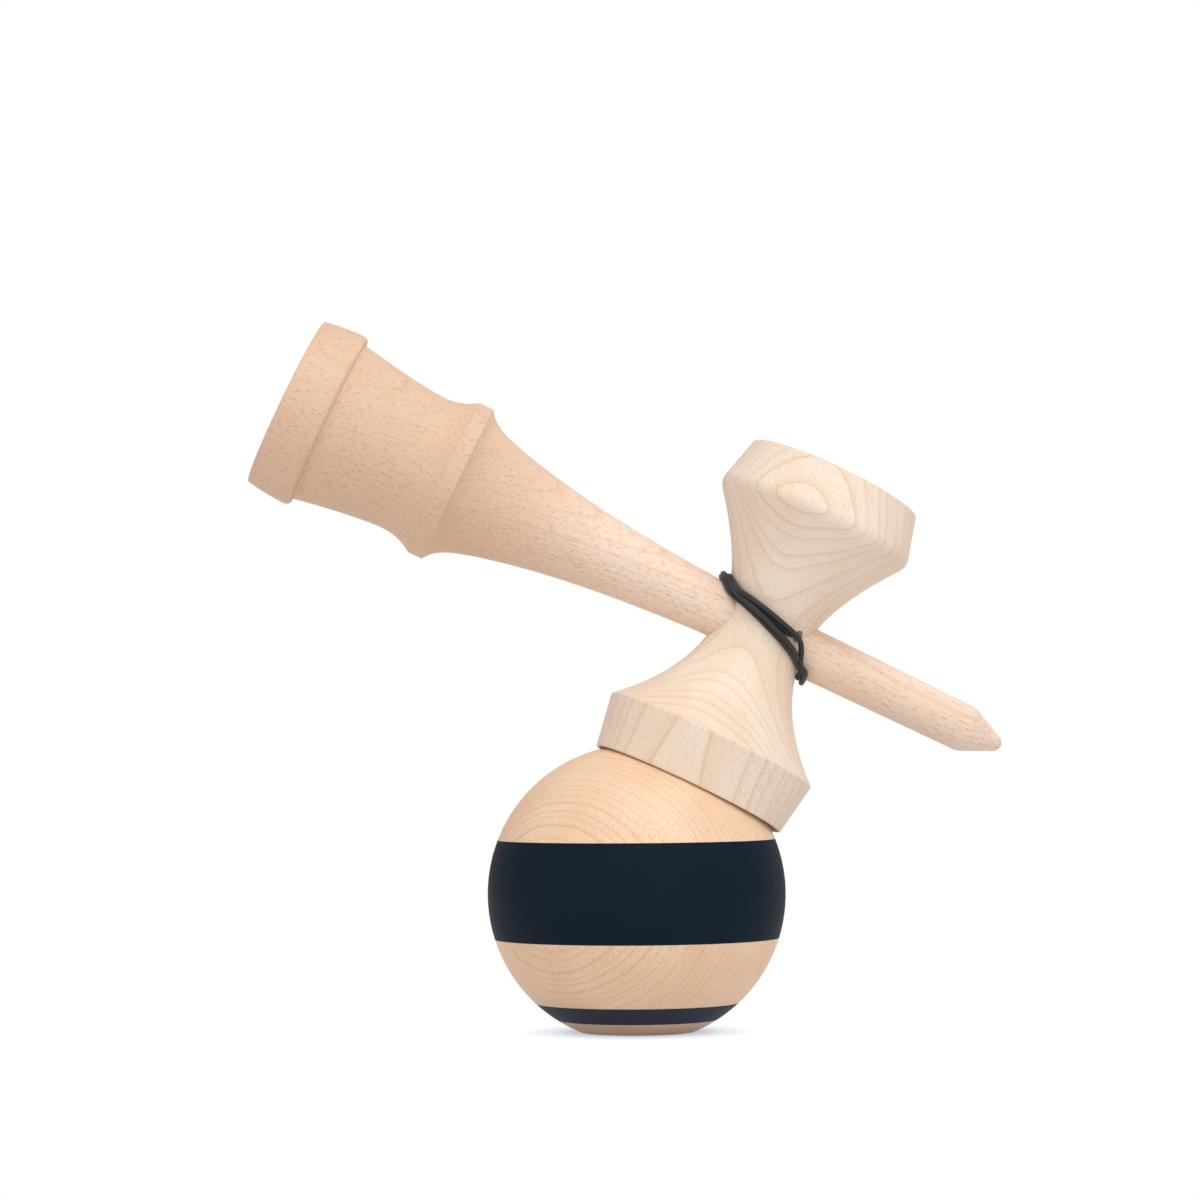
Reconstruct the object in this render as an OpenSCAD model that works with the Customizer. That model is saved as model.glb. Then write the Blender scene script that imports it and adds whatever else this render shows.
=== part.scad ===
// Kendama: a turned wooden cup-and-ball toy. The ball stands on its spike hole,
// the ken is balanced on it by the big cup, and the string is wound round the crossing.
// Millimetres, +Z up, the floor at z = 0, the front towards -Y.

/* [Ball] */
// Diameter of the ball
tama_d = 60; // [57:0.5:63]
// Diameter of the flat ring that the ball stands on
foot_d = 23; // [21:0.5:25]
// Diameter of the bevel at the mouth of the spike hole
bevel_d = 20.4; // [18:0.2:20.4]
// Diameter of the spike hole
hole_d = 15; // [13:0.5:16.5]
// Wood left above the bead's chamber
top_wall = 4.7; // [3.5:0.1:6]
// Diameter of the string hole in the ball's top
top_hole_d = 3; // [2.2:0.1:4]
// Upper edge of the wide band, from the ball's middle
band_top = 10.9; // [8:0.1:14]
// Lower edge of the wide band, from the ball's middle
band_bottom = -9; // [-14:0.1:-6]
// Lower edge of the narrow stripe above the foot
stripe_up = 2.4; // [1.2:0.1:4]
// Height of the narrow stripe
stripe_h = 3.4; // [2:0.1:6]
// Thickness of the paint in its turned recess
coat_t = 0.15; // [0.1:0.05:0.3]

/* [Bead] */
// Diameter of the bead inside the ball
bead_d = 8; // [7:0.5:9]
// Diameter of the bead's hole
bead_hole_d = 2.4; // [1.8:0.1:2.8]
// Diameter of the knot below the bead
bead_knot_d = 4; // [3.4:0.1:4.6]
// Play between the bead and the end of its chamber
bead_play = 0.3; // [0.2:0.1:0.8]
// Play between the bead and the side of its chamber
bead_side = 0.7; // [0.4:0.1:1]

/* [Ken] */
// Length of the ken from the base cup's rim to the tip
ken_len = 161; // [155:0.5:168]
// Distance from the base cup's rim to the crossing
ken_cross = 107.2; // [103:0.1:110]
// Outer radius of the base cup's rim
base_rim_r = 17.95; // [16.5:0.05:19]
// Largest radius of the base cup's ring
base_ring_r = 18.75; // [18:0.05:19.5]
// Width of the base cup's ring
base_ring_w = 9.6; // [7:0.1:12]
// Depth of the base cup
base_depth = 7.5; // [5:0.5:9]
// Radius of the ken's cup body where it leaves the ring
body_r = 17.15; // [16:0.05:17.6]
// Radius of the waist between the base cup and the slip stop
body_waist_r = 14.6; // [13.5:0.1:15.5]
// Distance from the base cup's rim to that waist
body_waist_s = 28.4; // [24:0.1:31]
// Radius of the slip stop
stop_r = 16.75; // [16:0.05:18]
// Distance from the base cup's rim to the slip stop
stop_s = 35.4; // [33:0.1:38]
// Width of the slip stop's edge
stop_w = 3.1; // [2:0.1:4]
// Radius that the handle fades down to
handle_core_r = 4.2; // [3.8:0.1:4.5]
// Height of the handle's long flare at the slip stop
flare_h = 10.3; // [9:0.1:11]
// Length over which the long flare fades
flare_len = 30; // [26:1:33]
// Height of the short fillet at the slip stop
fillet_h = 2.2; // [1.5:0.1:2.8]
// Length over which the short fillet fades
fillet_len = 1.8; // [1.2:0.1:2.4]
// Radius of the tapered seat on its spike side
seat_end_r = 5.15; // [4.9:0.05:5.4]
// Radius of the spike at its shoulder
spike_r = 4.78; // [4.4:0.02:4.9]
// Length of the spike's point
point_len = 7.7; // [6:0.1:9]
// Radius of the rounded tip
tip_r = 1.75; // [1.2:0.05:2]

/* [Cross piece] */
// Length from the big cup's rim to the small cup's rim
sarado_len = 70; // [67:0.5:74]
// Distance from the big cup's rim to the ken's axis
cross_t = 35.5; // [33:0.1:38]
// Outer radius of the big cup's rim
big_rim_r = 20.5; // [20.4:0.05:21.2]
// Width of the cups' rims
lip = 0.5; // [0.4:0.05:0.8]
// Depth of the big cup
big_depth = 12; // [11:0.5:14]
// Radius of the big cup's edge
big_edge_r = 22.3; // [21.5:0.1:23.5]
// Distance from the big cup's rim to its edge
big_edge_t = 10.9; // [9:0.1:13]
// Radius of the cross piece's waist
waist_r = 9.2; // [8.6:0.1:10]
// Distance from the big cup's rim to the waist
waist_t = 36.8; // [35:0.1:39]
// Radius of the small cup's edge
small_edge_r = 20.9; // [20:0.1:22]
// Distance from the small cup's rim to its edge
small_edge_t = 10.1; // [8:0.1:12]
// Outer radius of the small cup's rim
small_rim_r = 18.25; // [17.5:0.05:19]
// Depth of the small cup
small_depth = 9; // [7:0.5:11]
// Clearance between the ken's taper and the cross piece
seat_fit = 0.05; // [0.03:0.01:0.1]

/* [String] */
// Diameter of the string
string_d = 0.95; // [0.8:0.05:1]
// Diameter of the string hole in the cross piece and the ken
string_hole_d = 2.6; // [2.2:0.1:3]
// Direction of the string hole, from the front towards the spike
hole_turn = 45; // [40:1:50]
// Rise of the string hole towards the small cup
hole_rise = 8.5; // [6:0.5:11]
// Diameter of the knot inside the ken
ken_knot_d = 4; // [3.4:0.1:4.2]
// Distance from the ken's axis to the floor of the knot's recess
knot_floor = 2.4; // [2:0.1:2.8]
// Distance from one strand of the winding to the next
strand_pitch = 1.65; // [1.6:0.05:1.8]
// Gap between the winding and the wood
strand_lay = 0.15; // [0.1:0.05:0.3]

/* [Balance] */
// Lean of the cross piece towards the spike's side
lean_side = 25.9; // [15:0.1:30]
// Lean of the cross piece away from the front
lean_back = 4.25; // [0:0.05:8]
// Turn of the spike away from the front
ken_turn = 2.4; // [0:0.1:6]
// Mean gap between the big cup's rim and the ball, which the string props up
rim_gap = 0.9; // [0.9:0.05:1.4]
// Shift of the cup on the ball along the ken
seat_x = 0.4; // [0:0.05:0.5]
// Shift of the cup on the ball towards the back
seat_y = 0.95; // [0.5:0.05:0.95]

/* [Hidden] */
$fn = 96;

beech = "#e6c9a4";
beech_pale = "#ead3b2";
beech_warm = "#e3b982";
band_paint = "#22242c";
stripe_paint = "#343842";
cord_black = "#1d1d1f";

tama_r = tama_d / 2;
foot_r = foot_d / 2;
tama_h = sqrt(pow(tama_r, 2) - pow(foot_r, 2));
stripe_bottom = stripe_up - tama_h;
stripe_top = stripe_bottom + stripe_h;
string_r = string_d / 2;
over = 1;

// The bead hangs on its knot in a chamber beyond the spike hole
bead_drop = sqrt(pow(bead_d / 2, 2) - pow(bead_hole_d / 2, 2)) + sqrt(pow(bead_knot_d / 2, 2) - pow(bead_hole_d / 2, 2));
chamber_h = bead_play + bead_d / 2 + bead_drop + bead_knot_d / 2 + 2 * bead_play;
chamber_top = tama_r - top_wall;
hole_depth = tama_h + chamber_top - chamber_h;

// Axes of the ken and the cross piece in the standing pose
ken_axis = [cos(ken_turn) * cos(lean_side) - sin(ken_turn) * sin(lean_back) * sin(lean_side),
            sin(ken_turn) * cos(lean_back),
            -cos(ken_turn) * sin(lean_side) - sin(ken_turn) * sin(lean_back) * cos(lean_side)];
cup_axis = [cos(lean_back) * sin(lean_side), sin(lean_back), cos(lean_back) * cos(lean_side)];
side_axis = cross(cup_axis, ken_axis);

// The cup's rim rides on the ball at this height above the ball's middle
big_rim_in_r = big_rim_r - lip;
rim_up = sqrt(pow(tama_r + rim_gap, 2) - pow(big_rim_in_r, 2));
cross_up = rim_up + cross_t;

// From the crossing's own frame to the ball's middle
function place(p) = (p.x + seat_x) * ken_axis + (p.y + seat_y) * side_axis + (p.z + cross_up) * cup_axis;

// The part stands with the middle of its length over the origin
tip_reach = place([ken_len - ken_cross - tip_r, 0, 0]).x + tip_r;
base_reach = place([-ken_cross, 0, 0]).x - base_rim_r * sqrt(1 - pow(ken_axis.x, 2));
ball_at = [-(tip_reach + base_reach) / 2, 0, tama_h];

module on_ball() {
    translate(ball_at)
        rotate([-lean_back, lean_side, 0])
            rotate([0, 0, ken_turn])
                translate([seat_x, seat_y, cross_up])
                    children();
}

// A row of points along a bend from a to b that is pulled towards c
function bend(a, c, b, steps) =
    [for (i = [0 : steps]) let (k = i / steps) (1 - k) * (1 - k) * a + 2 * k * (1 - k) * c + k * k * b];

// Radius of the ball that hollows a cup of this rim radius and depth
function dish_r(r, depth) = (r * r + depth * depth) / (2 * depth);

// Ken: radius along the handle, from the slip stop to the tapered seat
stop_end_s = stop_s + stop_w;
seat_s = ken_cross - 11.2;
seat_end_s = ken_cross + 10.8;
point_s = ken_len - point_len;
function handle_r(s) = handle_core_r
    + flare_h * exp(-(s - stop_end_s) / flare_len)
    + fillet_h * exp(-(s - stop_end_s) / fillet_len);
seat_start_r = handle_r(seat_s);
function seat_r(s) =
    seat_start_r + (seat_end_r - seat_start_r) * (s - seat_s) / (seat_end_s - seat_s);

// Ken: the hollow taper between the base cup's ring and the slip stop
function body_in_r(s) = s < body_waist_s
    ? body_waist_r + (body_r - body_waist_r) * pow((body_waist_s - s) / (body_waist_s - base_ring_w), 1.4)
    : body_waist_r + (stop_r - body_waist_r) * pow((s - body_waist_s) / (stop_s - body_waist_s), 2.2);

function base_ring_points() = concat(
    bend([base_rim_r - lip, 0], [base_rim_r, 0], [base_rim_r + 0.08, 0.7], 5),
    bend([base_rim_r + 0.1, 1], [base_ring_r - 0.15, base_ring_w * 0.4], [base_ring_r, base_ring_w - 1.6], 10),
    bend([base_ring_r, base_ring_w - 1.4], [base_ring_r, base_ring_w], [base_ring_r - 1, base_ring_w], 6));

function body_points() =
    [for (i = [0 : 32]) let (s = base_ring_w + (stop_s - base_ring_w) * i / 32) [body_in_r(s), s]];

// The handle's stations crowd towards the slip stop, where it bends most
function handle_points() =
    [for (i = [0 : 40]) let (s = stop_end_s + (seat_s - stop_end_s) * pow(i / 40, 2)) [handle_r(s), s]];

function tip_points() =
    let (drop = spike_r - tip_r, run = point_len - tip_r, cone = atan2(drop, run))
    [for (i = [0 : 10]) let (a = cone + (90 - cone) * i / 10)
        [tip_r * cos(a), ken_len - tip_r + tip_r * sin(a)]];

function ken_points() = concat(
    [[0, 0]], base_ring_points(), body_points(),
    [[stop_r, stop_end_s]], handle_points(),
    [[seat_end_r, seat_end_s]],
    bend([spike_r + 0.01, point_s - 0.9], [spike_r, point_s], [spike_r - 0.42, point_s + 0.86], 5),
    tip_points());

// Cross piece: radius of the neck between its two edges
small_edge_at = sarado_len - small_edge_t;
function neck_r(t) = t < waist_t
    ? waist_r + (big_edge_r - waist_r) * pow((waist_t - t) / (waist_t - big_edge_t), 2.2)
    : waist_r + (small_edge_r - waist_r) * pow((t - waist_t) / (small_edge_at - waist_t), 1.6);

function neck_points() =
    [for (i = [0 : 48]) let (t = big_edge_t + 0.25 + (small_edge_at - 1.9 - big_edge_t) * i / 48) [neck_r(t), t]];

small_slope = (small_edge_r - small_rim_r) / small_edge_t;
function sarado_points() = concat(
    [[0, 0]],
    bend([big_rim_r - 0.3, 0], [big_rim_r, 0], [big_rim_r + 0.06, 0.35], 4),
    bend([big_edge_r - 0.06, big_edge_t - 0.35], [big_edge_r, big_edge_t], [neck_r(big_edge_t + 0.2), big_edge_t + 0.2], 4),
    neck_points(),
    bend([neck_r(small_edge_at - 1.4), small_edge_at - 1.4], [small_edge_r, small_edge_at],
         [small_edge_r - small_slope * 1.6, small_edge_at + 1.6], 8),
    bend([small_rim_r + 0.08, sarado_len - 0.35], [small_rim_r, sarado_len], [small_rim_r - 0.3, sarado_len], 4),
    [[0, sarado_len]]);

// String hole: drilled from the front's spike side through the crossing
hole_axis = [cos(hole_rise) * sin(hole_turn), -cos(hole_rise) * cos(hole_turn), sin(hole_rise)];
module along_hole() {
    rotate([0, 0, hole_turn - 90])
        rotate([0, 90 - hole_rise, 0])
            children();
}
ken_knot_at = -(knot_floor + sqrt(pow(ken_knot_d / 2, 2) - pow(string_hole_d / 2, 2)));

// Winding: each strand runs up the front from below the spike (u = 0) over the
// handle (u = 180) and down the back (u = 360), round the cross piece's axis
strand_off = string_r + strand_lay;
handle_top = handle_r(ken_cross - 14) + strand_off;
spike_under = seat_r(ken_cross + 11) + strand_off + 0.1;
row_rise = 0.9 * strand_pitch;
row_mid = 0.6;
swing_run = 3.9;
step_u = 15;

// Strands of the front in the order in which the string runs: their rows from the
// lowest up, and their places beside the cross piece on the handle and on the spike
strand_row = [2, 3, 1, 0];
handle_place = [1, 0, 2, 3];
spike_place = [2, 2, 1, 0, -1];

function end_share(u) = pow(abs(cos(u)), 6);
function row_share(u) = sqrt(1 - pow(end_share(u), 2));
function swing(u) = -cos(u) * (swing_run + ((cos(u) > 0 ? spike_under : handle_top) - swing_run) * pow(cos(u), 2));
function row_z(row, u) = swing(u) + (row - row_mid * (1 + cos(u))) * row_rise * row_share(u);
function ease(k) = k * k * (3 - 2 * k);
function soft_min(a, b) = (a + b) / 2 - norm([(a - b) / 2, 0.5]);

// The two upper strands fan out towards the string hole; the second one is caught
// beside the hole and drops steeply from there to below the spike
hole_u = 90 - hole_turn;
hole_z = neck_r(cross_t) * sin(hole_rise);
function fan(u) = 3.6 * pow(max(0, (cos(u) + 0.15) / 0.857), 1.4);
function caught_z(u) = (spike_under + hole_z) * pow(u / (hole_u - 9), 2.6) - spike_under;
function front_z(n, u) = let (z = row_z(strand_row[n], u))
    n == 0 ? z + fan(u) : n == 1 ? soft_min(z + 1.25 * fan(u), caught_z(u)) : z;
function back_row(n, u) = let (k = ease(min(1, max(0, (u - 215) / 110))))
    (1 - k) * strand_row[n] + k * spike_place[n + 1];

// The first strand passes over the second one in a low hump on the back
function hump(n, u) = n == 0 ? (string_d + 1.2) * pow(sin(u), 4) : 0;

// Strands lie on the neck, and side by side where they pass the handle and the spike
function wound_point(u, z, place) =
    let (e = end_share(u), inmost = row_z(cos(u) > 0 ? 0 : 3, u),
         rho = (1 - e) * neck_r(cross_t + z) + e * neck_r(cross_t + inmost)
             + strand_off + place * strand_pitch * e)
    [rho * cos(u), -rho * sin(u), z];
function front_point(n, u) =
    wound_point(u, front_z(n, u), cos(u) > 0 ? spike_place[n] : handle_place[n]);
function back_point(n, u) =
    wound_point(u, row_z(back_row(n, u), u), cos(u) > 0 ? spike_place[n + 1] : handle_place[n])
    + hump(n, u) * [cos(u), -sin(u), 0];

// The string comes out of its hole, and the first strand starts there
hole_out = neck_r(cross_t + hole_z) + strand_off;
first_u = hole_u + 22;
function hole_points() = concat(
    [for (d = [ken_knot_at + ken_knot_d / 2 - 0.4 : 2.2 : hole_out - 2.4]) d * hole_axis],
    bend((hole_out - 1.6) * hole_axis, (hole_out + 0.5) * hole_axis, front_point(0, first_u), 6));

// The last strand turns down behind the neck and ends there
last_u = 232;
wrap_end = [-3.6, 11.4, -5];
lead_way = unit([0, 0.5, -0.86]);
function end_points() = concat(
    bend(back_point(3, last_u), wrap_end - 4.4 * lead_way, wrap_end, 6),
    [wrap_end + string_d * lead_way]);

wrap_route = concat(
    hole_points(),
    [for (u = [step_u * ceil(first_u / step_u + 0.3) : step_u : 179]) front_point(0, u)],
    [for (n = [0 : 2]) each concat(
        [for (u = [180 : step_u : 359]) back_point(n, u)],
        [for (u = [0 : n == 0 ? step_u / 2 : step_u : n == 0 ? 59 : 44]) front_point(n + 1, u)],
        [for (u = [n == 0 ? 60 : 45 : step_u : 179]) front_point(n + 1, u)])],
    [for (u = [180 : step_u : last_u - step_u / 2]) back_point(3, u)],
    end_points());

// Hidden stretch: from the winding down past the big cup's edge to behind its rim
string_gap = 0.3;
lead_off = string_r + string_gap;
lead_start = wrap_end + string_d * lead_way;
lead_turn = lead_start + (big_edge_r + lead_off - lead_start.y) / lead_way.y * lead_way;
lead_edge = [wrap_end.x + 0.4, big_edge_r + lead_off, min(big_edge_t - cross_t, lead_turn.z) - 1.4];
lead_end = [-1.9, big_rim_r + string_r + 0.4, 0.5 - cross_t];
lead_route = concat(
    [for (k = [0 : 0.125 : 0.99]) lead_start + k * (lead_turn - 2 * lead_way - lead_start)],
    bend(lead_turn - 2 * lead_way, lead_turn, lead_edge, 4),
    [for (k = [0.2 : 0.2 : 1]) lead_edge + k * (lead_end - lead_edge)]);

// Hidden stretch: under the rim and over the ball to its string hole, from the ball's middle
rim_back = place([-0.7, big_rim_r - lip / 2, -cross_t]);
rim_under = (tama_r + norm(rim_back)) / 2 * unit(rim_back);
under_start = place(lead_end + string_gap * unit(lead_end - lead_edge));
under_turn = place([-1.3, big_rim_r + 0.6, -cross_t - 1.1]);
hole_side = unit([rim_under.x, rim_under.y, 0]);
rim_angle = acos(unit(rim_under).z);
function over_ball(a) = (tama_r + lead_off) * [sin(a) * hole_side.x, sin(a) * hole_side.y, cos(a)];
under_route = concat(
    bend(under_start, under_turn, rim_under, 5),
    [for (k = [1 : 8]) over_ball(rim_angle + k / 8 * (12 - rim_angle))],
    [for (hop = [[4, 1.2], [2.3, 1.7], [1.1, 1.9], [0.4, 1.7]]) hop[0] * hole_side + [0, 0, tama_r + hop[1]]],
    [[0, 0, tama_r + 1.3], [0, 0, tama_r + 2 * string_gap]]);

// Length of a route, and the least gap between stretches of a tube along it
function route_len(p, i = 1) = i >= len(p) ? 0 : norm(p[i] - p[i - 1]) + route_len(p, i + 1);
function midway(p) = [for (i = [0 : len(p) - 2], k = [0, 0.5]) p[i] + k * (p[i + 1] - p[i])];
function self_gap(p, d, skip) = let (q = midway(p))
    min([for (i = [0 : len(q) - 1]) each
        [for (j = [i + 1 : 1 : len(q) - 1]) if (j - i > skip) norm(q[i] - q[j])]]) - d;

echo(winding_gap = self_gap(wrap_route, string_d, 12));
echo(string_length = route_len(wrap_route) + route_len(lead_route) + route_len(under_route) + inner_len);

// A round tube along a route: each ring is carried on from the last without twist
function unit(v) = v / norm(v);
function heading(p, i) = unit(p[min(i + 1, len(p) - 1)] - p[max(i - 1, 0)]);
function square_to(n, t) = unit(n - (n * t) * t);
function carried(p, n, i) = i >= len(p) ? [] : let (m = square_to(n, heading(p, i))) concat([m], carried(p, m, i + 1));
function any_normal(t) = square_to(abs(t.z) < 0.8 ? [0, 0, 1] : [1, 0, 0], t);

module tube(route, r, sides) {
    count = len(route);
    normals = carried(route, any_normal(heading(route, 0)), 0);
    rings = [for (i = [0 : count - 1]) let (t = heading(route, i), n = normals[i], b = cross(t, n))
        for (k = [0 : sides - 1]) let (a = 360 * k / sides) route[i] + r * (cos(a) * n + sin(a) * b)];
    last = (count - 1) * sides;
    faces = concat(
        [for (k = [1 : sides - 2]) [0, k, k + 1]],
        [for (i = [0 : count - 2], k = [0 : sides - 1]) let (a = i * sides + k, b = i * sides + (k + 1) % sides)
            each [[a, a + sides, b], [b, a + sides, b + sides]]],
        [for (k = [1 : sides - 2]) [last, last + k + 1, last + k]]);
    polyhedron(rings, faces);
}

// Ball: a slab that picks out the height of a painted band
module band_shell(low, high) {
    intersection() {
        difference() {
            sphere(tama_r);
            sphere(tama_r - coat_t);
        }
        translate([0, 0, low])
            cylinder(r = tama_r + over, h = high - low);
    }
}

module tama() {
    color(beech_warm)
        translate(ball_at)
            difference() {
                sphere(tama_r);
                band_shell(band_bottom, band_top);
                band_shell(stripe_bottom, stripe_top);
                translate([0, 0, -tama_h - tama_r])
                    cylinder(r = tama_r, h = tama_r);
                translate([0, 0, -tama_h - over])
                    cylinder(d = hole_d, h = hole_depth + over);
                translate([0, 0, -tama_h - 0.001])
                    cylinder(d1 = bevel_d, d2 = hole_d, h = (bevel_d - hole_d) / 2);
                translate([0, 0, chamber_top - chamber_h - over])
                    cylinder(d = bead_d + 2 * bead_side, h = chamber_h + over);
                cylinder(d = top_hole_d, h = tama_r + over);
            }
}

module tama_band() {
    color(band_paint)
        translate(ball_at)
            band_shell(band_bottom, band_top);
}

module tama_stripe() {
    color(stripe_paint)
        translate(ball_at)
            band_shell(stripe_bottom, stripe_top);
}

// Bead: the string runs down through it to the knot
bead_z = chamber_top - bead_play - bead_d / 2;
bead_knot_z = bead_z - bead_drop;
inner_z = bead_knot_z + bead_knot_d / 2 - 0.4;
inner_len = tama_r + string_gap - inner_z;

module bead() {
    color(beech)
        translate(ball_at + [0, 0, bead_z])
            difference() {
                sphere(d = bead_d);
                translate([0, 0, -bead_d])
                    cylinder(d = bead_hole_d, h = 2 * bead_d);
            }
}

module bead_knot() {
    color(cord_black)
        translate(ball_at + [0, 0, bead_knot_z])
            sphere(d = bead_knot_d);
}

module string_inner() {
    color(cord_black)
        translate(ball_at + [0, 0, inner_z])
            cylinder(d = string_d, h = inner_len);
}

module string_under() {
    color(cord_black)
        translate(ball_at)
            tube(under_route, string_r, 8);
}

module string_lead() {
    color(cord_black)
        on_ball()
            tube(lead_route, string_r, 8);
}

module string_wrap() {
    color(cord_black)
        on_ball()
            tube(wrap_route, string_r, 6);
}

module ken_knot() {
    color(cord_black)
        on_ball()
            along_hole()
                translate([0, 0, ken_knot_at])
                    sphere(d = ken_knot_d);
}

module ken() {
    base_in_r = base_rim_r - lip;
    base_ball_r = dish_r(base_in_r, base_depth);
    color(beech)
        on_ball()
            difference() {
                rotate([0, 90, 0])
                    translate([0, 0, -ken_cross])
                        difference() {
                            rotate_extrude()
                                polygon(ken_points());
                            translate([0, 0, base_depth - base_ball_r])
                                sphere(base_ball_r);
                        }
                along_hole() {
                    translate([0, 0, -3 * ken_knot_d])
                        cylinder(d = string_hole_d, h = 6 * ken_knot_d);
                    translate([0, 0, -knot_floor - 3 * ken_knot_d])
                        cylinder(d = ken_knot_d + 0.6, h = 3 * ken_knot_d);
                }
            }
}

module sarado() {
    big_ball_r = dish_r(big_rim_in_r, big_depth);
    small_ball_r = dish_r(small_rim_r - lip, small_depth);
    bore_half = 2 * waist_r;
    color(beech_pale)
        on_ball()
            difference() {
                translate([0, 0, -cross_t])
                    difference() {
                        rotate_extrude()
                            polygon(sarado_points());
                        translate([0, 0, big_depth - big_ball_r])
                            sphere(big_ball_r);
                        translate([0, 0, sarado_len - small_depth + small_ball_r])
                            sphere(small_ball_r);
                    }
                rotate([0, 90, 0])
                    translate([0, 0, -bore_half])
                        cylinder(r1 = seat_r(ken_cross - bore_half) + seat_fit,
                                 r2 = seat_r(ken_cross + bore_half) + seat_fit, h = 2 * bore_half);
                along_hole()
                    cylinder(d = string_hole_d, h = 2 * waist_r);
            }
}

tama();
tama_band();
tama_stripe();
bead();
bead_knot();
string_inner();
string_under();
string_lead();
string_wrap();
ken_knot();
ken();
sarado();
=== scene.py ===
import bpy
import math
from mathutils import Vector, Matrix


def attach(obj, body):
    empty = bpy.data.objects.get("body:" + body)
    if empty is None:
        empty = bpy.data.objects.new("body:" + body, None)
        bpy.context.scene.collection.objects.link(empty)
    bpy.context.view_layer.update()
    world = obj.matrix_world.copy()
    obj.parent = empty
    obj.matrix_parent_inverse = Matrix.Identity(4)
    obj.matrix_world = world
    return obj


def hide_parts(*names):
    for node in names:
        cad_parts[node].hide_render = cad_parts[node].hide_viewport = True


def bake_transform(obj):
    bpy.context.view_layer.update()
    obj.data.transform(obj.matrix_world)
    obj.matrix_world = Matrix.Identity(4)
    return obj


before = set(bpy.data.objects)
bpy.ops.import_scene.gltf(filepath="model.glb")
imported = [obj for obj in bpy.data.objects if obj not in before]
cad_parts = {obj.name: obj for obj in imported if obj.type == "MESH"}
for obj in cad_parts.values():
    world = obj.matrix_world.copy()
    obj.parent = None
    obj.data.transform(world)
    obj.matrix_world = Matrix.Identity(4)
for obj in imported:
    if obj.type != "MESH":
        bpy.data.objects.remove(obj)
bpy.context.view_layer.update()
scene = bpy.context.scene
scene.view_settings.view_transform = "Standard"
print("frame loaded:", len(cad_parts), "nodes")

# how the ken stands on the ball, in mm and degrees
stance = dict(
    leanSide=25.9, leanBack=4.25, kenTurn=2.4,
    ballAt=(1.81427, 0.0, 27.7083),  # the ball's middle
    crossing=(26.0166, 5.33969, 52.7552),  # from there to where the ken crosses the cross piece
)
mmPerM = 1000.0


def sinDeg(a):
    return math.sin(math.radians(a))


def cosDeg(a):
    return math.cos(math.radians(a))


def turnAbout(axis, angle):
    return Matrix.Rotation(math.radians(angle), 3, axis)


ballAt = Vector(stance["ballAt"])
crossingAt = ballAt + Vector(stance["crossing"])
lean = turnAbout("Y", stance["leanSide"]) @ turnAbout("X", -stance["leanBack"])
turnToStance = lean @ turnAbout("Z", stance["kenTurn"])
kenAxis = turnToStance @ Vector((1, 0, 0))  # from the handle to the spike
cupAxis = turnToStance @ Vector((0, 0, 1))  # from the big cup to the small cup


def fromCrossing(p):  # crossing frame in mm to the row frame in metres
    return (crossingAt + turnToStance @ Vector(p)) / mmPerM


def fromBall(p):  # ball-centred mm to the row frame in metres
    return (ballAt + Vector(p)) / mmPerM


def rowMm(place, points):  # points of the crossing's or the ball's frame to the row frame, in mm
    return [place(p) * mmPerM for p in points]


# camera, fitted to the photograph's outlines: its place in mm from the ball's middle and its three directions
cameraFit = dict(
    fromBall=(-7.15, -847.254, 33.75), lens=126.0, sensor=36.0, clipStart=0.01,
    right=(0.99998, 0.0, -0.00698),
    up=(0.006978, -0.03002, 0.99953),
    back=(-0.00021, -0.99955, -0.03002),
)


def setCamera(fit):
    data = bpy.data.cameras.new("camera")
    data.lens = fit["lens"]
    data.sensor_width = fit["sensor"]
    data.clip_start = fit["clipStart"]
    obj = bpy.data.objects.new("camera", data)
    scene.collection.objects.link(obj)
    turn = Matrix((fit["right"], fit["up"], fit["back"])).transposed()
    obj.matrix_world = Matrix.Translation(fromBall(fit["fromBall"])) @ turn.to_4x4()
    scene.camera = obj


setCamera(cameraFit)
print("camera set")


# small helpers for material trees
def newNode(tree, kind, inputs=None, **settings):
    node = tree.nodes.new(kind)
    for key, value in settings.items():
        setattr(node, key, value)
    for key, value in (inputs or {}).items():
        if isinstance(value, bpy.types.NodeSocket):
            tree.links.new(value, node.inputs[key])
        else:
            node.inputs[key].default_value = value
    return node


def mathOut(tree, operation, a, b=0.0):
    return newNode(tree, "ShaderNodeMath", {0: a, 1: b}, operation=operation).outputs[0]


def plus(tree, a, b):
    return mathOut(tree, "ADD", a, b)


def minus(tree, a, b):
    return mathOut(tree, "SUBTRACT", a, b)


def times(tree, a, b):
    return mathOut(tree, "MULTIPLY", a, b)


def atLeast(tree, value, floor):  # a share from 0 to 1 raised so that it starts at floor
    return plus(tree, times(tree, value, 1 - floor), floor)


def dotOut(tree, vector, direction):
    inputs = {0: vector, 1: tuple(direction)}
    return newNode(tree, "ShaderNodeVectorMath", inputs, operation="DOT_PRODUCT").outputs["Value"]


def stretched(tree, values, sizes):  # a vector of three values, each times its own scale
    inputs = {i: times(tree, values[i], sizes[i]) for i in range(3)}
    return newNode(tree, "ShaderNodeCombineXYZ", inputs).outputs[0]


def noiseOut(tree, vector, scale=1.0, detail=2.0, roughness=0.5):
    inputs = {"Vector": vector, "Scale": scale, "Detail": detail, "Roughness": roughness}
    return newNode(tree, "ShaderNodeTexNoise", inputs).outputs["Fac"]


def spreadOut(tree, value, low, high, toLow, toHigh, **settings):  # the range low to high laid on another
    inputs = {0: value, 1: low, 2: high, 3: toLow, 4: toHigh}
    return newNode(tree, "ShaderNodeMapRange", inputs, **settings).outputs[0]


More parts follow.
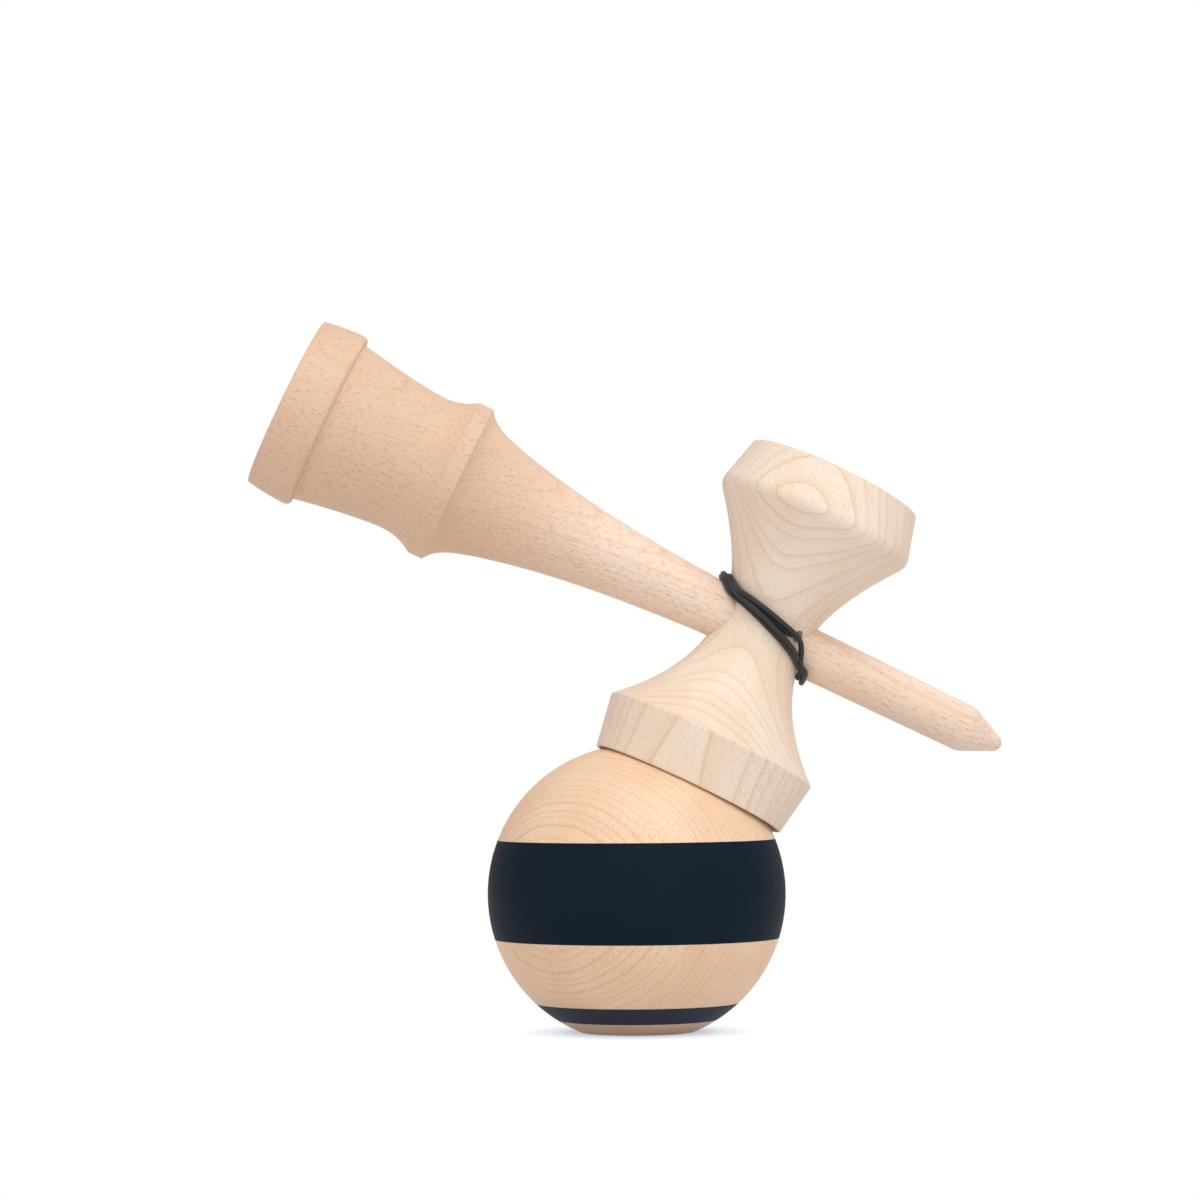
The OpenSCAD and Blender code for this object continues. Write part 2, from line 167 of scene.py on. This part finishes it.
def rampOut(tree, value, stops):  # each stop is a place with a grey or a colour
    ramp = newNode(tree, "ShaderNodeValToRGB", {"Fac": value})
    ramp.color_ramp.interpolation = "EASE"
    while len(ramp.color_ramp.elements) < len(stops):
        ramp.color_ramp.elements.new(0.5)
    for element, (place, tone) in zip(ramp.color_ramp.elements, stops):
        element.position = place
        element.color = (tone, tone, tone, 1) if isinstance(tone, float) else (*tone, 1)
    return ramp.outputs["Color"]


def asColour(value):
    return value if isinstance(value, bpy.types.NodeSocket) else (*value, 1)


def mixOut(tree, share, a, b):
    inputs = {0: share, 6: asColour(a), 7: asColour(b)}
    return newNode(tree, "ShaderNodeMix", inputs, data_type="RGBA").outputs[2]


def emptyTree(holder):  # the tree of a material or a world, with nothing in it
    holder.use_nodes = True
    holder.node_tree.nodes.clear()
    return holder.node_tree


def newMaterial(name):
    material = bpy.data.materials.new(name)
    tree = emptyTree(material)
    shader = newNode(tree, "ShaderNodeBsdfPrincipled")
    newNode(tree, "ShaderNodeOutputMaterial", {"Surface": shader.outputs[0]})
    return material, tree, shader


def placeMm(tree):
    coords = newNode(tree, "ShaderNodeTexCoord").outputs["Object"]
    inputs = {0: coords, "Scale": mmPerM}
    return newNode(tree, "ShaderNodeVectorMath", inputs, operation="SCALE").outputs[0]


def srgb(r, g, b):
    return tuple(((c / 255 + 0.055) / 1.055) ** 2.4 if c > 10 else c / 255 / 12.92 for c in (r, g, b))


noiseSpan = (0.3, 0.7)  # where most values of a noise lie


def finishSurface(tree, shader, feel, rough, colour, noise, height):  # noise makes the roughness uneven
    roughness = spreadOut(tree, noise, *noiseSpan, rough - feel["smoother"], rough + feel["rougher"])
    bumpInputs = {"Strength": feel["bump"], "Distance": feel["bumpDepth"], "Height": height}
    bump = newNode(tree, "ShaderNodeBump", bumpInputs).outputs[0]
    tree.links.new(colour, shader.inputs["Base Color"])
    tree.links.new(roughness, shader.inputs["Roughness"])
    tree.links.new(bump, shader.inputs["Normal"])
    shader.inputs["Specular IOR Level"].default_value = feel["specular"]


# beech: growth layers cut by the turned form, short dark rays along the grain, fine fibres
beechFeel = dict(
    bendScale=(0.03, 0.03, 0.018), bend=6.0,  # slow bending of the layers, mm
    unevenScale=0.35, uneven=1.6,  # years of different width
    lateWood=[(0.0, 0.12), (0.1, 0.0), (0.55, 0.05), (0.86, 0.4), (0.95, 1.0), (1.0, 0.25)],
    faintYear=0.45, faintRay=0.35, raySoft=0.16,
    fibreScale=(5.5, 5.5, 0.2), fibreStops=[(0.38, 0.0), (0.68, 1.0)], fibreShare=0.22,
    cloudScale=(0.09, 0.09, 0.03), cloudStops=[(0.3, 0.0), (0.7, 1.0)],
    fibreHeight=0.5, rayDepth=0.4, bump=0.28, bumpDepth=0.00006,
    smoother=0.05, rougher=0.08, specular=0.35,
)
# lengths in mm; start and stop are measured along the grain from the crossing
beechLooks = {
    "ken": dict(
        grain=kenAxis, layer=Vector((0.1, -1.0, 0.12)), pith=70.0, spacing=1.15, shift=0.4,
        wander=0.7, seed=0.0,
        pale=srgb(245, 222, 203), warm=srgb(240, 213, 190), line=srgb(214, 170, 137), lineShare=0.5,
        ray=srgb(186, 136, 106), rayShare=0.58, rayGap=0.42, rayRun=2.3, rayEdge=0.36, rough=0.54,
        # painted shade: the ken's colour turns darker towards its cup end, standing in for the light that
        # falls off there
        tip=dict(tone=srgb(222, 182, 149), share=0.7, start=-30.0, stop=-64.0),
    ),
    "sarado": dict(
        grain=cupAxis, layer=Vector((-0.05, -1.0, 0.1)), pith=150.95, spacing=2.0, shift=0.05,
        wander=0.85, seed=210.0,
        pale=srgb(245, 230, 213), warm=srgb(241, 220, 198), line=srgb(222, 174, 132), lineShare=0.6,
        ray=srgb(208, 162, 126), rayShare=0.5, rayGap=0.32, rayRun=2.6, rayEdge=0.34, rough=0.52,
        follow=[dict(start=-35.5, stop=-24.6, drop=2.75), dict(start=2.0, stop=22.0, drop=1.0)],
    ),
    "tama": dict(
        grain=Vector((0, 0, 1)), layer=Vector((-0.6, -0.8, 0.03)), pith=90.0, spacing=0.98, shift=0.6,
        wander=0.45, seed=0.0,
        pale=srgb(248, 216, 184), warm=srgb(243, 205, 169), line=srgb(214, 161, 121), lineShare=0.6,
        ray=srgb(184, 128, 92), rayShare=0.5, rayGap=0.33, rayRun=3.4, rayEdge=0.34, rough=0.42,
    ),
    "bead": dict(
        grain=Vector((0, 0, 1)), layer=Vector((0.3, -1.0, 0.0)), pith=40.0, spacing=1.8, shift=0.2,
        wander=0.6, seed=0.0,
        pale=srgb(230, 200, 166), warm=srgb(222, 188, 152), line=srgb(200, 155, 116), lineShare=0.5,
        ray=srgb(180, 132, 98), rayShare=0.45, rayGap=0.42, rayRun=1.6, rayEdge=0.34, rough=0.5,
    ),
}


def growthLines(tree, look, spot, fromCross):  # late wood of rings about a far pith, bent by slow noise
    out, side, along = spot
    seeded = (out, side, plus(tree, along, look["seed"]))
    slow = noiseOut(tree, stretched(tree, seeded, beechFeel["bendScale"]))
    bend = times(tree, minus(tree, slow, 0.5), beechFeel["bend"] * look["wander"])
    deep = plus(tree, plus(tree, out, bend), look["pith"])
    for follow in look.get("follow", ()):  # layers that run with the form: big cup's wall, small cup's neck
        drop = spreadOut(tree, fromCross, follow["start"], follow["stop"], 0.0, follow["drop"])
        deep = minus(tree, deep, drop)
    ringR = mathOut(tree, "SQRT", plus(tree, times(tree, deep, deep), times(tree, side, side)))
    year = plus(tree, times(tree, ringR, 1 / look["spacing"]), look["shift"])
    unevenInputs = {"W": year, "Scale": beechFeel["unevenScale"], "Detail": 1.0}
    uneven = newNode(tree, "ShaderNodeTexNoise", unevenInputs, noise_dimensions="1D").outputs["Fac"]
    year = plus(tree, year, times(tree, uneven, beechFeel["uneven"]))
    lateWood = rampOut(tree, mathOut(tree, "FRACT", year), beechFeel["lateWood"])
    toneInputs = {"W": mathOut(tree, "FLOOR", year)}
    yearTone = newNode(tree, "ShaderNodeTexWhiteNoise", toneInputs, noise_dimensions="1D").outputs["Value"]
    lines = times(tree, lateWood, atLeast(tree, yearTone, beechFeel["faintYear"]))
    return times(tree, lines, look["lineShare"])


def rayDashes(tree, look, spot):  # short dark dashes along the grain, each with its own strength
    wide = 1 / look["rayGap"]
    cells = stretched(tree, spot, (wide, wide, 1 / look["rayRun"]))
    dashes = newNode(tree, "ShaderNodeTexVoronoi", {"Vector": cells, "Scale": 1.0, "Randomness": 1.0}).outputs
    strength = newNode(tree, "ShaderNodeSeparateColor", {0: dashes["Color"]}).outputs[0]
    edge = look["rayEdge"]
    stops = [(0.0, 1.0), (edge - beechFeel["raySoft"], 1.0), (edge, 0.0)]
    shape = rampOut(tree, dashes["Distance"], stops)
    return times(tree, shape, atLeast(tree, strength, beechFeel["faintRay"]))


def turnedBeech(name, look):
    material, tree, shader = newMaterial("beech_" + name)
    place = placeMm(tree)
    grain = look["grain"].normalized()
    layer = (look["layer"] - grain * look["layer"].dot(grain)).normalized()
    spot = [dotOut(tree, place, way) for way in (layer, grain.cross(layer), grain)]  # out, side and along
    fromCross = minus(tree, spot[2], crossingAt.dot(grain))
    lines = growthLines(tree, look, spot, fromCross)
    rays = rayDashes(tree, look, spot)
    fibres = noiseOut(tree, stretched(tree, spot, beechFeel["fibreScale"]), detail=3.0, roughness=0.6)
    cloud = noiseOut(tree, stretched(tree, spot, beechFeel["cloudScale"]))
    colour = mixOut(tree, rampOut(tree, cloud, beechFeel["cloudStops"]), look["pale"], look["warm"])
    if "tip" in look:  # painted shade: darker and warmer towards the ken's cup end, where less light falls
        tip = look["tip"]
        share = spreadOut(tree, fromCross, tip["start"], tip["stop"], 0.0, tip["share"],
                          interpolation_type="SMOOTHSTEP")
        colour = mixOut(tree, share, colour, tip["tone"])
    fibreShare = times(tree, rampOut(tree, fibres, beechFeel["fibreStops"]), beechFeel["fibreShare"])
    colour = mixOut(tree, fibreShare, colour, look["line"])
    colour = mixOut(tree, lines, colour, look["line"])
    colour = mixOut(tree, times(tree, rays, look["rayShare"]), colour, look["ray"])
    raised = times(tree, fibres, beechFeel["fibreHeight"])
    height = minus(tree, raised, times(tree, rays, beechFeel["rayDepth"]))
    finishSurface(tree, shader, beechFeel, look["rough"], colour, fibres, height)
    return material


# paint on the ball: matte, a little uneven, the wood's fibres just showing through
paintFeel = dict(
    speckleScale=2.2, cloudScale=0.06, fibreScale=(4.0, 4.0, 0.18), lightShare=0.45,
    fibreHeight=0.6, speckleHeight=0.4, bump=0.2, bumpDepth=0.00005,
    smoother=0.05, rougher=0.07, specular=0.09,
)
paintLooks = {
    "tama_band": dict(dark=srgb(8, 22, 34), light=srgb(14, 33, 47), rough=0.58),
    # the stripe is the same paint as the band, given a lighter colour: painted light for the bounce from the
    # floor below the ball
    "tama_stripe": dict(dark=srgb(40, 48, 62), light=srgb(52, 60, 75), rough=0.58),
}


def bandPaint(name, look):
    material, tree, shader = newMaterial("paint_" + name)
    place = placeMm(tree)
    speckle = noiseOut(tree, place, paintFeel["speckleScale"], detail=3.0, roughness=0.6)
    cloud = noiseOut(tree, place, paintFeel["cloudScale"])
    fibreInputs = {"Vector": place, "Scale": paintFeel["fibreScale"]}
    fibres = noiseOut(tree, newNode(tree, "ShaderNodeMapping", fibreInputs).outputs[0])
    lightShare = paintFeel["lightShare"]
    share = plus(tree, times(tree, speckle, lightShare), times(tree, cloud, lightShare))
    colour = mixOut(tree, share, look["dark"], look["light"])
    raised = times(tree, fibres, paintFeel["fibreHeight"])
    height = plus(tree, raised, times(tree, speckle, paintFeel["speckleHeight"]))
    finishSurface(tree, shader, paintFeel, look["rough"], colour, speckle, height)
    return material


# string: black braid with a dry sheen
stringLook = dict(
    dark=srgb(10, 10, 11), light=srgb(40, 40, 42), lightStops=[(0.35, 0.0), (0.7, 1.0)], lightShare=0.75,
    yarnScale=3.4, fuzzScale=9.0, yarnHeight=0.7, fuzzHeight=0.3, bump=0.5, bumpDepth=0.00008,
    rough=0.5, smoother=0.1, rougher=0.1, specular=0.5, sheen=0.15,
)


def braidedString(look):
    material, tree, shader = newMaterial("string_braid")
    place = placeMm(tree)
    yarn = noiseOut(tree, place, look["yarnScale"], detail=3.0, roughness=0.65)
    fuzz = noiseOut(tree, place, look["fuzzScale"], roughness=0.6)
    share = times(tree, rampOut(tree, yarn, look["lightStops"]), look["lightShare"])
    colour = mixOut(tree, share, look["dark"], look["light"])
    height = plus(tree, times(tree, yarn, look["yarnHeight"]), times(tree, fuzz, look["fuzzHeight"]))
    finishSurface(tree, shader, look, look["rough"], colour, yarn, height)
    shader.inputs["Sheen Weight"].default_value = look["sheen"]
    return material


def dress(node, material):
    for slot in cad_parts[node].material_slots:
        slot.material = material


for piece, look in beechLooks.items():
    dress(piece, turnedBeech(piece, look))
for piece, look in paintLooks.items():
    dress(piece, bandPaint(piece, look))
stringMaterial = braidedString(stringLook)
print("wood and paint done")


# string: one length of braid, drawn as a lobed tube along the route of the solids
stringShape = dict(radius=0.55, sides=12, lobes=4, lobeDepth=0.07, turnsPerMm=0.42, stepMm=0.5)


def smoothRoute(points, step, closed=False):  # even points on a Catmull-Rom line
    points = [Vector(p) for p in points]
    count = len(points)
    line = []
    for i in range(count if closed else count - 1):
        if closed:
            a, b, c, d = (points[(i + k) % count] for k in (-1, 0, 1, 2))
        else:
            b, c = points[i], points[i + 1]
            a = points[i - 1] if i > 0 else 2 * b - c
            d = points[i + 2] if i + 2 < count else 2 * c - b
        parts = max(1, round((c - b).length / step))
        for k in range(parts):
            t = k / parts
            squared = (2 * a - 5 * b + 4 * c - d) * t * t
            cubed = (3 * b - a - 3 * c + d) * t ** 3
            line.append(0.5 * (2 * b + (c - a) * t + squared + cubed))
    if not closed:
        line.append(points[-1])
    return line


def tubeFaces(count, sides, closed):  # between the rings of a tube, with two caps if it is open
    faces = []
    for i in range(count if closed else count - 1):
        j = (i + 1) % count
        for k in range(sides):
            m = (k + 1) % sides
            faces.append((i * sides + k, i * sides + m, j * sides + m, j * sides + k))
    if not closed:
        faces.append(tuple(reversed(range(sides))))
        faces.append(tuple((count - 1) * sides + k for k in range(sides)))
    return faces


def stringTube(name, points, shape, closed=False):  # points in mm of the row frame
    line = smoothRoute(points, shape["stepMm"], closed)
    count, sides = len(line), shape["sides"]
    verts = []
    normal, run = None, 0.0
    for i, p in enumerate(line):
        after = line[(i + 1) % count] if closed else line[min(i + 1, count - 1)]
        before = line[i - 1] if closed or i > 0 else line[0]
        way = (after - before).normalized()
        if normal is None:
            normal = way.orthogonal().normalized()
        normal = (normal - way * normal.dot(way)).normalized()
        other = way.cross(normal)
        run += (p - line[i - 1]).length if i > 0 else 0.0
        twist = 2 * math.pi * shape["turnsPerMm"] * run
        for k in range(sides):
            turn = 2 * math.pi * k / sides
            braid = math.cos(shape["lobes"] * turn + twist) * math.cos(twist)
            r = shape["radius"] * (1 + shape["lobeDepth"] * braid)
            verts.append((p + (normal * math.cos(turn) + other * math.sin(turn)) * r) / mmPerM)
    mesh = bpy.data.meshes.new(name)
    mesh.from_pydata(verts, [], tubeFaces(count, sides, closed))
    mesh.polygons.foreach_set("use_smooth", [True] * len(mesh.polygons))
    mesh.materials.append(stringMaterial)
    mesh.update()
    obj = bpy.data.objects.new(name, mesh)
    scene.collection.objects.link(obj)
    return obj


# neck of the cross piece: radius, and height over the big cup's rim, at its waist and at the cups' edges, mm
neck = dict(
    waistR=9.2, waistT=36.8,
    big=dict(edgeR=22.3, edgeT=10.9, power=2.2),
    small=dict(edgeR=20.9, edgeT=59.9, power=1.6),
)
# winding round the crossing, in mm and degrees: each turn goes in front of the neck, over the handle,
# behind the neck and under the spike; x runs from handle to spike, z up to the small cup
winding = dict(
    stringD=0.95, lay=0.06, crossT=35.5, handleR=5.85, spikeR=4.85,
    holeTurn=45.0, holeRise=8.5, inHole=(-2.3, -0.1, 2.1, 4.3, 6.5),
    mouth=(-1.6, 0.2), firstTouch=(4.2, 0.85),  # how it bends out of the hole onto the neck
    frontX=(9.4, 8.4, 7.4, 6.2, 4.2, 1.0, -2.8, -6.2, -8.4), backX=(-8.2, -4.0, 0.0, 4.0, 8.0),
    spikeSide=11.0, handleSide=-10.2, offHandle=((0.35, 104), (1.15, 125)),
    backSlope=0.41, sag=0.05, sagX=5.0, handleFade=-6.0, spikeFade=4.0, fade=4.4,
    spikeSwing=40, spikeDraw=0.4,  # the bend under the spike
    leaveKen=((-12.0, 104), (-11.0, 138), (-9.6, 158)), leaveNeck=((-7.4, 0.9), (-5.6, -1.6)),
    wrapEnd=(-3.6, 11.4, -5.0), leadWay=(0, 0.5, -0.86), leadBend=4.4,
)
# the four turns from the string hole on: the second climbs over the others beside the spike
windingTurns = [
    dict(startX=1.0, frontZ=1.85, slope=0.27, bend=0.05, bendX=5.0, lift=0.0, ease=7.0,
         handleX=-11.2, handleTurn=60, handleLift=0.0, backZ=0.45, spikeX=11.6, spikeLift=0.6),
    dict(startX=9.4, frontZ=2.62, slope=0.24, bend=0.36, bendX=6.2, lift=0.9, ease=1.8,
         handleX=-11.1, handleTurn=64, handleLift=0.7, backZ=1.6, spikeX=11.5, spikeLift=0.0),
    dict(startX=9.4, frontZ=0.85, slope=0.355, bend=0.05, bendX=5.0, lift=0.9, ease=7.0,
         handleX=-12.3, handleTurn=46, handleLift=0.7, backZ=-0.7, spikeX=10.5, spikeLift=0.0),
    dict(startX=9.4, frontZ=0.1, slope=0.37, bend=0.03, bendX=5.0, lift=0.0, ease=7.0,
         handleX=-12.4, handleTurn=40, handleLift=0.0),
]


def neckR(t):  # the neck's radius at a height over the big cup's rim
    cup = neck["big"] if t < neck["waistT"] else neck["small"]
    share = (t - neck["waistT"]) / (cup["edgeT"] - neck["waistT"])
    return neck["waistR"] + (cup["edgeR"] - neck["waistR"]) * share ** cup["power"]


def onNeck(x, z, lift=0.0, side=-1):  # a point of the string on the neck: side -1 in front, 1 behind
    rho = neckR(winding["crossT"] + z) + stringShape["radius"] + winding["lay"] + lift
    return Vector((x, side * math.sqrt(rho * rho - x * x), z))


def onKen(x, turn, lift=0.0):  # a point on the ken: turn 0 in front, 90 on top, 180 behind, -90 below
    r = (winding["handleR"] if x < 0 else winding["spikeR"]) + stringShape["radius"] + winding["lay"] + lift
    return Vector((x, -r * cosDeg(turn), r * sinDeg(turn)))


def straightPoints(a, b, steps):
    return [a.lerp(b, k / steps) for k in range(steps + 1)]


def bendPoints(a, c, b, steps):  # a curve from a to b that is drawn towards c
    run = []
    for k in range(steps + 1):
        t = k / steps
        run.append((1 - t) ** 2 * a + 2 * t * (1 - t) * c + t ** 2 * b)
    return run


def inFront(turn):
    run = []
    for x in winding["frontX"]:
        if x <= turn["startX"]:
            z = turn["frontZ"] - turn["slope"] * x - turn["bend"] * max(0, x - turn["bendX"]) ** 2
            run.append(onNeck(x, z, turn["lift"] * min(1, (winding["spikeSide"] - x) / turn["ease"])))
    return run


def ontoHandle(turn):  # from the neck's edge to the handle's top
    run = []
    for k in (1, 0.5, 0):
        x = turn["handleX"] + k * k * (winding["handleSide"] - turn["handleX"])
        run.append(onKen(x, 90 - k * (90 - turn["handleTurn"]), turn["handleLift"]))
    return run


def behind(turn):  # off the handle, across the neck's back and under the spike
    run = [onKen(turn["handleX"] + off, angle, turn["handleLift"]) for off, angle in winding["offHandle"]]
    for x in winding["backX"]:
        z = turn["backZ"] - winding["backSlope"] * x - winding["sag"] * max(0, x - winding["sagX"]) ** 2
        handleLift = turn["handleLift"] * max(0, winding["handleFade"] - x) / winding["fade"]
        spikeLift = turn["spikeLift"] * max(0, x - winding["spikeFade"]) / winding["fade"]
        run.append(onNeck(x, z, handleLift + spikeLift, side=1))
    for k in (-1, 0, 1):
        x = turn["spikeX"] - winding["spikeDraw"] * k * k
        run.append(onKen(x, -90 + winding["spikeSwing"] * k, turn["spikeLift"]))
    return run


flat = cosDeg(winding["holeRise"])
holeAxis = Vector((flat * sinDeg(winding["holeTurn"]), -flat * cosDeg(winding["holeTurn"]),
                   sinDeg(winding["holeRise"])))
holeOut = neckR(winding["crossT"]) + stringShape["radius"] + winding["lay"]  # crossing to the hole's mouth
leadWay = Vector(winding["leadWay"]).normalized()
wrapEnd = Vector(winding["wrapEnd"])

wrapRoute = [d * holeAxis for d in winding["inHole"]]
mouthStart, mouthBend = ((holeOut + d) * holeAxis for d in winding["mouth"])
wrapRoute += bendPoints(mouthStart, mouthBend, onNeck(*winding["firstTouch"]), 5)
for turn in windingTurns[:-1]:
    wrapRoute += inFront(turn) + ontoHandle(turn) + behind(turn)
wrapRoute += inFront(windingTurns[-1]) + ontoHandle(windingTurns[-1])
wrapRoute += [onKen(x, angle) for x, angle in winding["leaveKen"]]  # the last turn leaves behind the handle
neckStart, neckEnd = (onNeck(x, z, side=1) for x, z in winding["leaveNeck"])
wrapRoute.append(neckStart)
wrapRoute += bendPoints(neckEnd, wrapEnd - winding["leadBend"] * leadWay, wrapEnd, 6)
wrapRoute.append(wrapEnd + winding["stringD"] * leadWay)

wrapObj = stringTube("stringWinding", rowMm(fromCrossing, wrapRoute), stringShape)
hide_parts("string_wrap")
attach(wrapObj, "ken")

# from the winding down past the big cup's edge to behind its rim, in the crossing's frame
lead = dict(off=0.54, shiftX=0.4, drop=1.4, ease=2.0, end=(-1.9, 21.7, -36.9), stretch=0.45)
leadShape = dict(stringShape, radius=0.5)
leadStart = wrapEnd + winding["stringD"] * leadWay
edgeY = neck["big"]["edgeR"] + lead["off"]
leadTurn = leadStart + (edgeY - leadStart.y) / leadWay.y * leadWay
edgeZ = min(neck["big"]["edgeT"] - winding["crossT"], leadTurn.z) - lead["drop"]
leadEdge = Vector((wrapEnd.x + lead["shiftX"], edgeY, edgeZ))
leadEnd = Vector(lead["end"])
turnStart = leadTurn - lead["ease"] * leadWay
leadRoute = straightPoints(leadStart, turnStart, 8)[:-1] + bendPoints(turnStart, leadTurn, leadEdge, 4)
leadRoute += straightPoints(leadEdge, leadEnd, 5)[1:]
leadObj = stringTube("stringLead", rowMm(fromCrossing, leadRoute), leadShape)
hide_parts("string_lead")
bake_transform(leadObj)

# under the rim and over the ball to its string hole, from the ball's middle
overBall = dict(
    ballR=30.0, rimX=-0.7, rimR=20.5, lip=0.5, squeeze=0.51,
    under=(-1.3, 21.3, -37.05),  # what the bend to under the rim is drawn towards, in the crossing's frame
    arcEnd=12, arcSteps=8, hops=((4, 0.28), (2.3, 0.46), (1.2, 0.52), (0.5, 0.48), (0.12, 0.4)), gap=0.3,
)
underShape = dict(stringShape, radius=0.475, lobeDepth=0.04)


def crossFromBall(p):  # crossing frame to ball-centred mm
    return fromCrossing(p) * mmPerM - ballAt


ballR = overBall["ballR"]
rimBack = crossFromBall((overBall["rimX"], overBall["rimR"] - overBall["lip"] / 2, -winding["crossT"]))
rimUnder = (ballR + overBall["squeeze"]) * rimBack.normalized()
holeSide = Vector((rimUnder.x, rimUnder.y, 0)).normalized()
rimAngle = math.degrees(math.acos(rimUnder.normalized().z))
underRoute = bendPoints(crossFromBall(leadEnd), crossFromBall(overBall["under"]), rimUnder, 5)
for k in range(1, overBall["arcSteps"] + 1):
    angle = rimAngle + k / overBall["arcSteps"] * (overBall["arcEnd"] - rimAngle)
    underRoute.append((ballR + lead["off"]) * (sinDeg(angle) * holeSide + Vector((0, 0, cosDeg(angle)))))
underRoute += [side * holeSide + Vector((0, 0, ballR + up)) for side, up in overBall["hops"]]
underRoute.append(Vector((0, 0, ballR + overBall["gap"])))
underObj = stringTube("stringUnderRim", rowMm(fromBall, underRoute), underShape)
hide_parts("string_under")
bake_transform(underObj)

# inside the ball, by height over its middle
innerHeights = (17.2, 20, 23, 26, 29, 30.3)
innerObj = stringTube("stringInBall", rowMm(fromBall, [(0, 0, z) for z in innerHeights]), underShape)
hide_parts("string_inner")
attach(innerObj, "bead")

# the two knots, in mm: the ken's rests on the edge of its hole, which is seat away from the crossing
knot = dict(points=36, wide=0.48, tall=1.25, beadHeight=15.5842, seat=2.4, knotR=2.0, holeR=1.3)
knotShape = dict(stringShape, radius=0.52, stepMm=0.35)


def knotTube(name, at, axis):  # a pulled-tight overhand knot
    turn = axis.to_track_quat("Z", "Y").to_matrix()
    points = []
    for k in range(knot["points"]):
        t = 2 * math.pi * k / knot["points"]
        x = knot["wide"] * (math.sin(t) + 2 * math.sin(2 * t))
        y = knot["wide"] * (math.cos(t) - 2 * math.cos(2 * t))
        points.append(at + turn @ Vector((x, y, -knot["tall"] * math.sin(3 * t))))
    return stringTube(name, points, knotShape, closed=True)


beadKnotObj = knotTube("knotUnderBead", fromBall((0, 0, knot["beadHeight"])) * mmPerM, Vector((0, 0, 1)))
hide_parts("bead_knot")
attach(beadKnotObj, "bead")
kenKnotAt = -(knot["seat"] + math.sqrt(knot["knotR"] ** 2 - knot["holeR"] ** 2))
kenKnotObj = knotTube("knotInKen", fromCrossing(kenKnotAt * holeAxis) * mmPerM, turnToStance @ holeAxis)
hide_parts("ken_knot")
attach(kenKnotObj, "ken")
print("string done")

# floor: white to the camera with a soft shade where the ball stands, matte to other light; metres
floorLook = dict(
    left=-6, right=6, near=-6, far=30, sink=0.00005, matte=(0.76, 0.76, 0.77, 1), reach=0.008, samples=16,
    shade=[(0.0, (0.5, 0.5, 0.54)), (0.4, (0.86, 0.87, 0.92)), (0.78, (1.0, 1.0, 1.0))],
)


def whiteFloor(look):
    material = bpy.data.materials.new("floor_white")
    tree = emptyTree(material)
    rays = newNode(tree, "ShaderNodeLightPath").outputs
    seen = mathOut(tree, "MAXIMUM", rays["Is Camera Ray"], rays["Is Glossy Ray"])
    seen = mathOut(tree, "MAXIMUM", seen, rays["Is Transmission Ray"])
    reach = {"Distance": look["reach"]}
    contact = newNode(tree, "ShaderNodeAmbientOcclusion", reach, samples=look["samples"]).outputs["AO"]
    glowInputs = {"Color": rampOut(tree, contact, look["shade"]), "Strength": 1.0}
    glow = newNode(tree, "ShaderNodeEmission", glowInputs).outputs[0]
    matte = newNode(tree, "ShaderNodeBsdfDiffuse", {"Color": look["matte"]}).outputs[0]
    surface = newNode(tree, "ShaderNodeMixShader", {0: seen, 1: matte, 2: glow}).outputs[0]
    newNode(tree, "ShaderNodeOutputMaterial", {"Surface": surface})
    return material


def floorPlane(look):
    left, right, near, far = (look[side] for side in ("left", "right", "near", "far"))
    mesh = bpy.data.meshes.new("floor")
    corners = [(left, near, 0), (right, near, 0), (right, far, 0), (left, far, 0)]
    mesh.from_pydata(corners, [], [(0, 1, 2, 3)])
    mesh.materials.append(whiteFloor(look))
    obj = bpy.data.objects.new("floor", mesh)
    obj.location.z = -look["sink"]
    scene.collection.objects.link(obj)
    return obj


floorObj = floorPlane(floorLook)

# white background and soft studio light: lamps in metres and watts
ambient = 0.57
lamps = {
    "keyLamp": dict(at=(0.22, -0.42, 0.82), aim=(0, 0, 0.07), size=0.7, watts=3.9),
    "fillLamp": dict(at=(-0.75, -0.75, 0.35), aim=(0, 0, 0.07), size=0.7, watts=1.35),
    "lowLamp": dict(at=(0.5, -0.8, 0.12), aim=(0, 0, 0.05), size=0.5, watts=0.85),
    "rimLamp": dict(at=(0.55, 0.55, 0.6), aim=(0, 0, 0.08), size=0.5, watts=0.9),
}


def studioWorld(dimmed):  # full white to the camera, dimmed for the light on the part
    world = bpy.data.worlds.new("studio")
    scene.world = world
    tree = emptyTree(world)
    rays = newNode(tree, "ShaderNodeLightPath").outputs
    level = spreadOut(tree, rays["Is Camera Ray"], 0.0, 1.0, dimmed, 1.0)
    inputs = {"Color": (1, 1, 1, 1), "Strength": level}
    newNode(tree, "ShaderNodeOutputWorld", {0: newNode(tree, "ShaderNodeBackground", inputs).outputs[0]})


def softLamp(name, at, aim, size, watts):
    lamp = bpy.data.lights.new(name, "AREA")
    lamp.shape = "DISK"
    lamp.size = size
    lamp.energy = watts
    obj = bpy.data.objects.new(name, lamp)
    obj.location = at
    obj.rotation_euler = (Vector(aim) - Vector(at)).to_track_quat("-Z", "Y").to_euler()
    scene.collection.objects.link(obj)


studioWorld(ambient)
for name, lamp in lamps.items():
    softLamp(name, **lamp)
print("studio done")
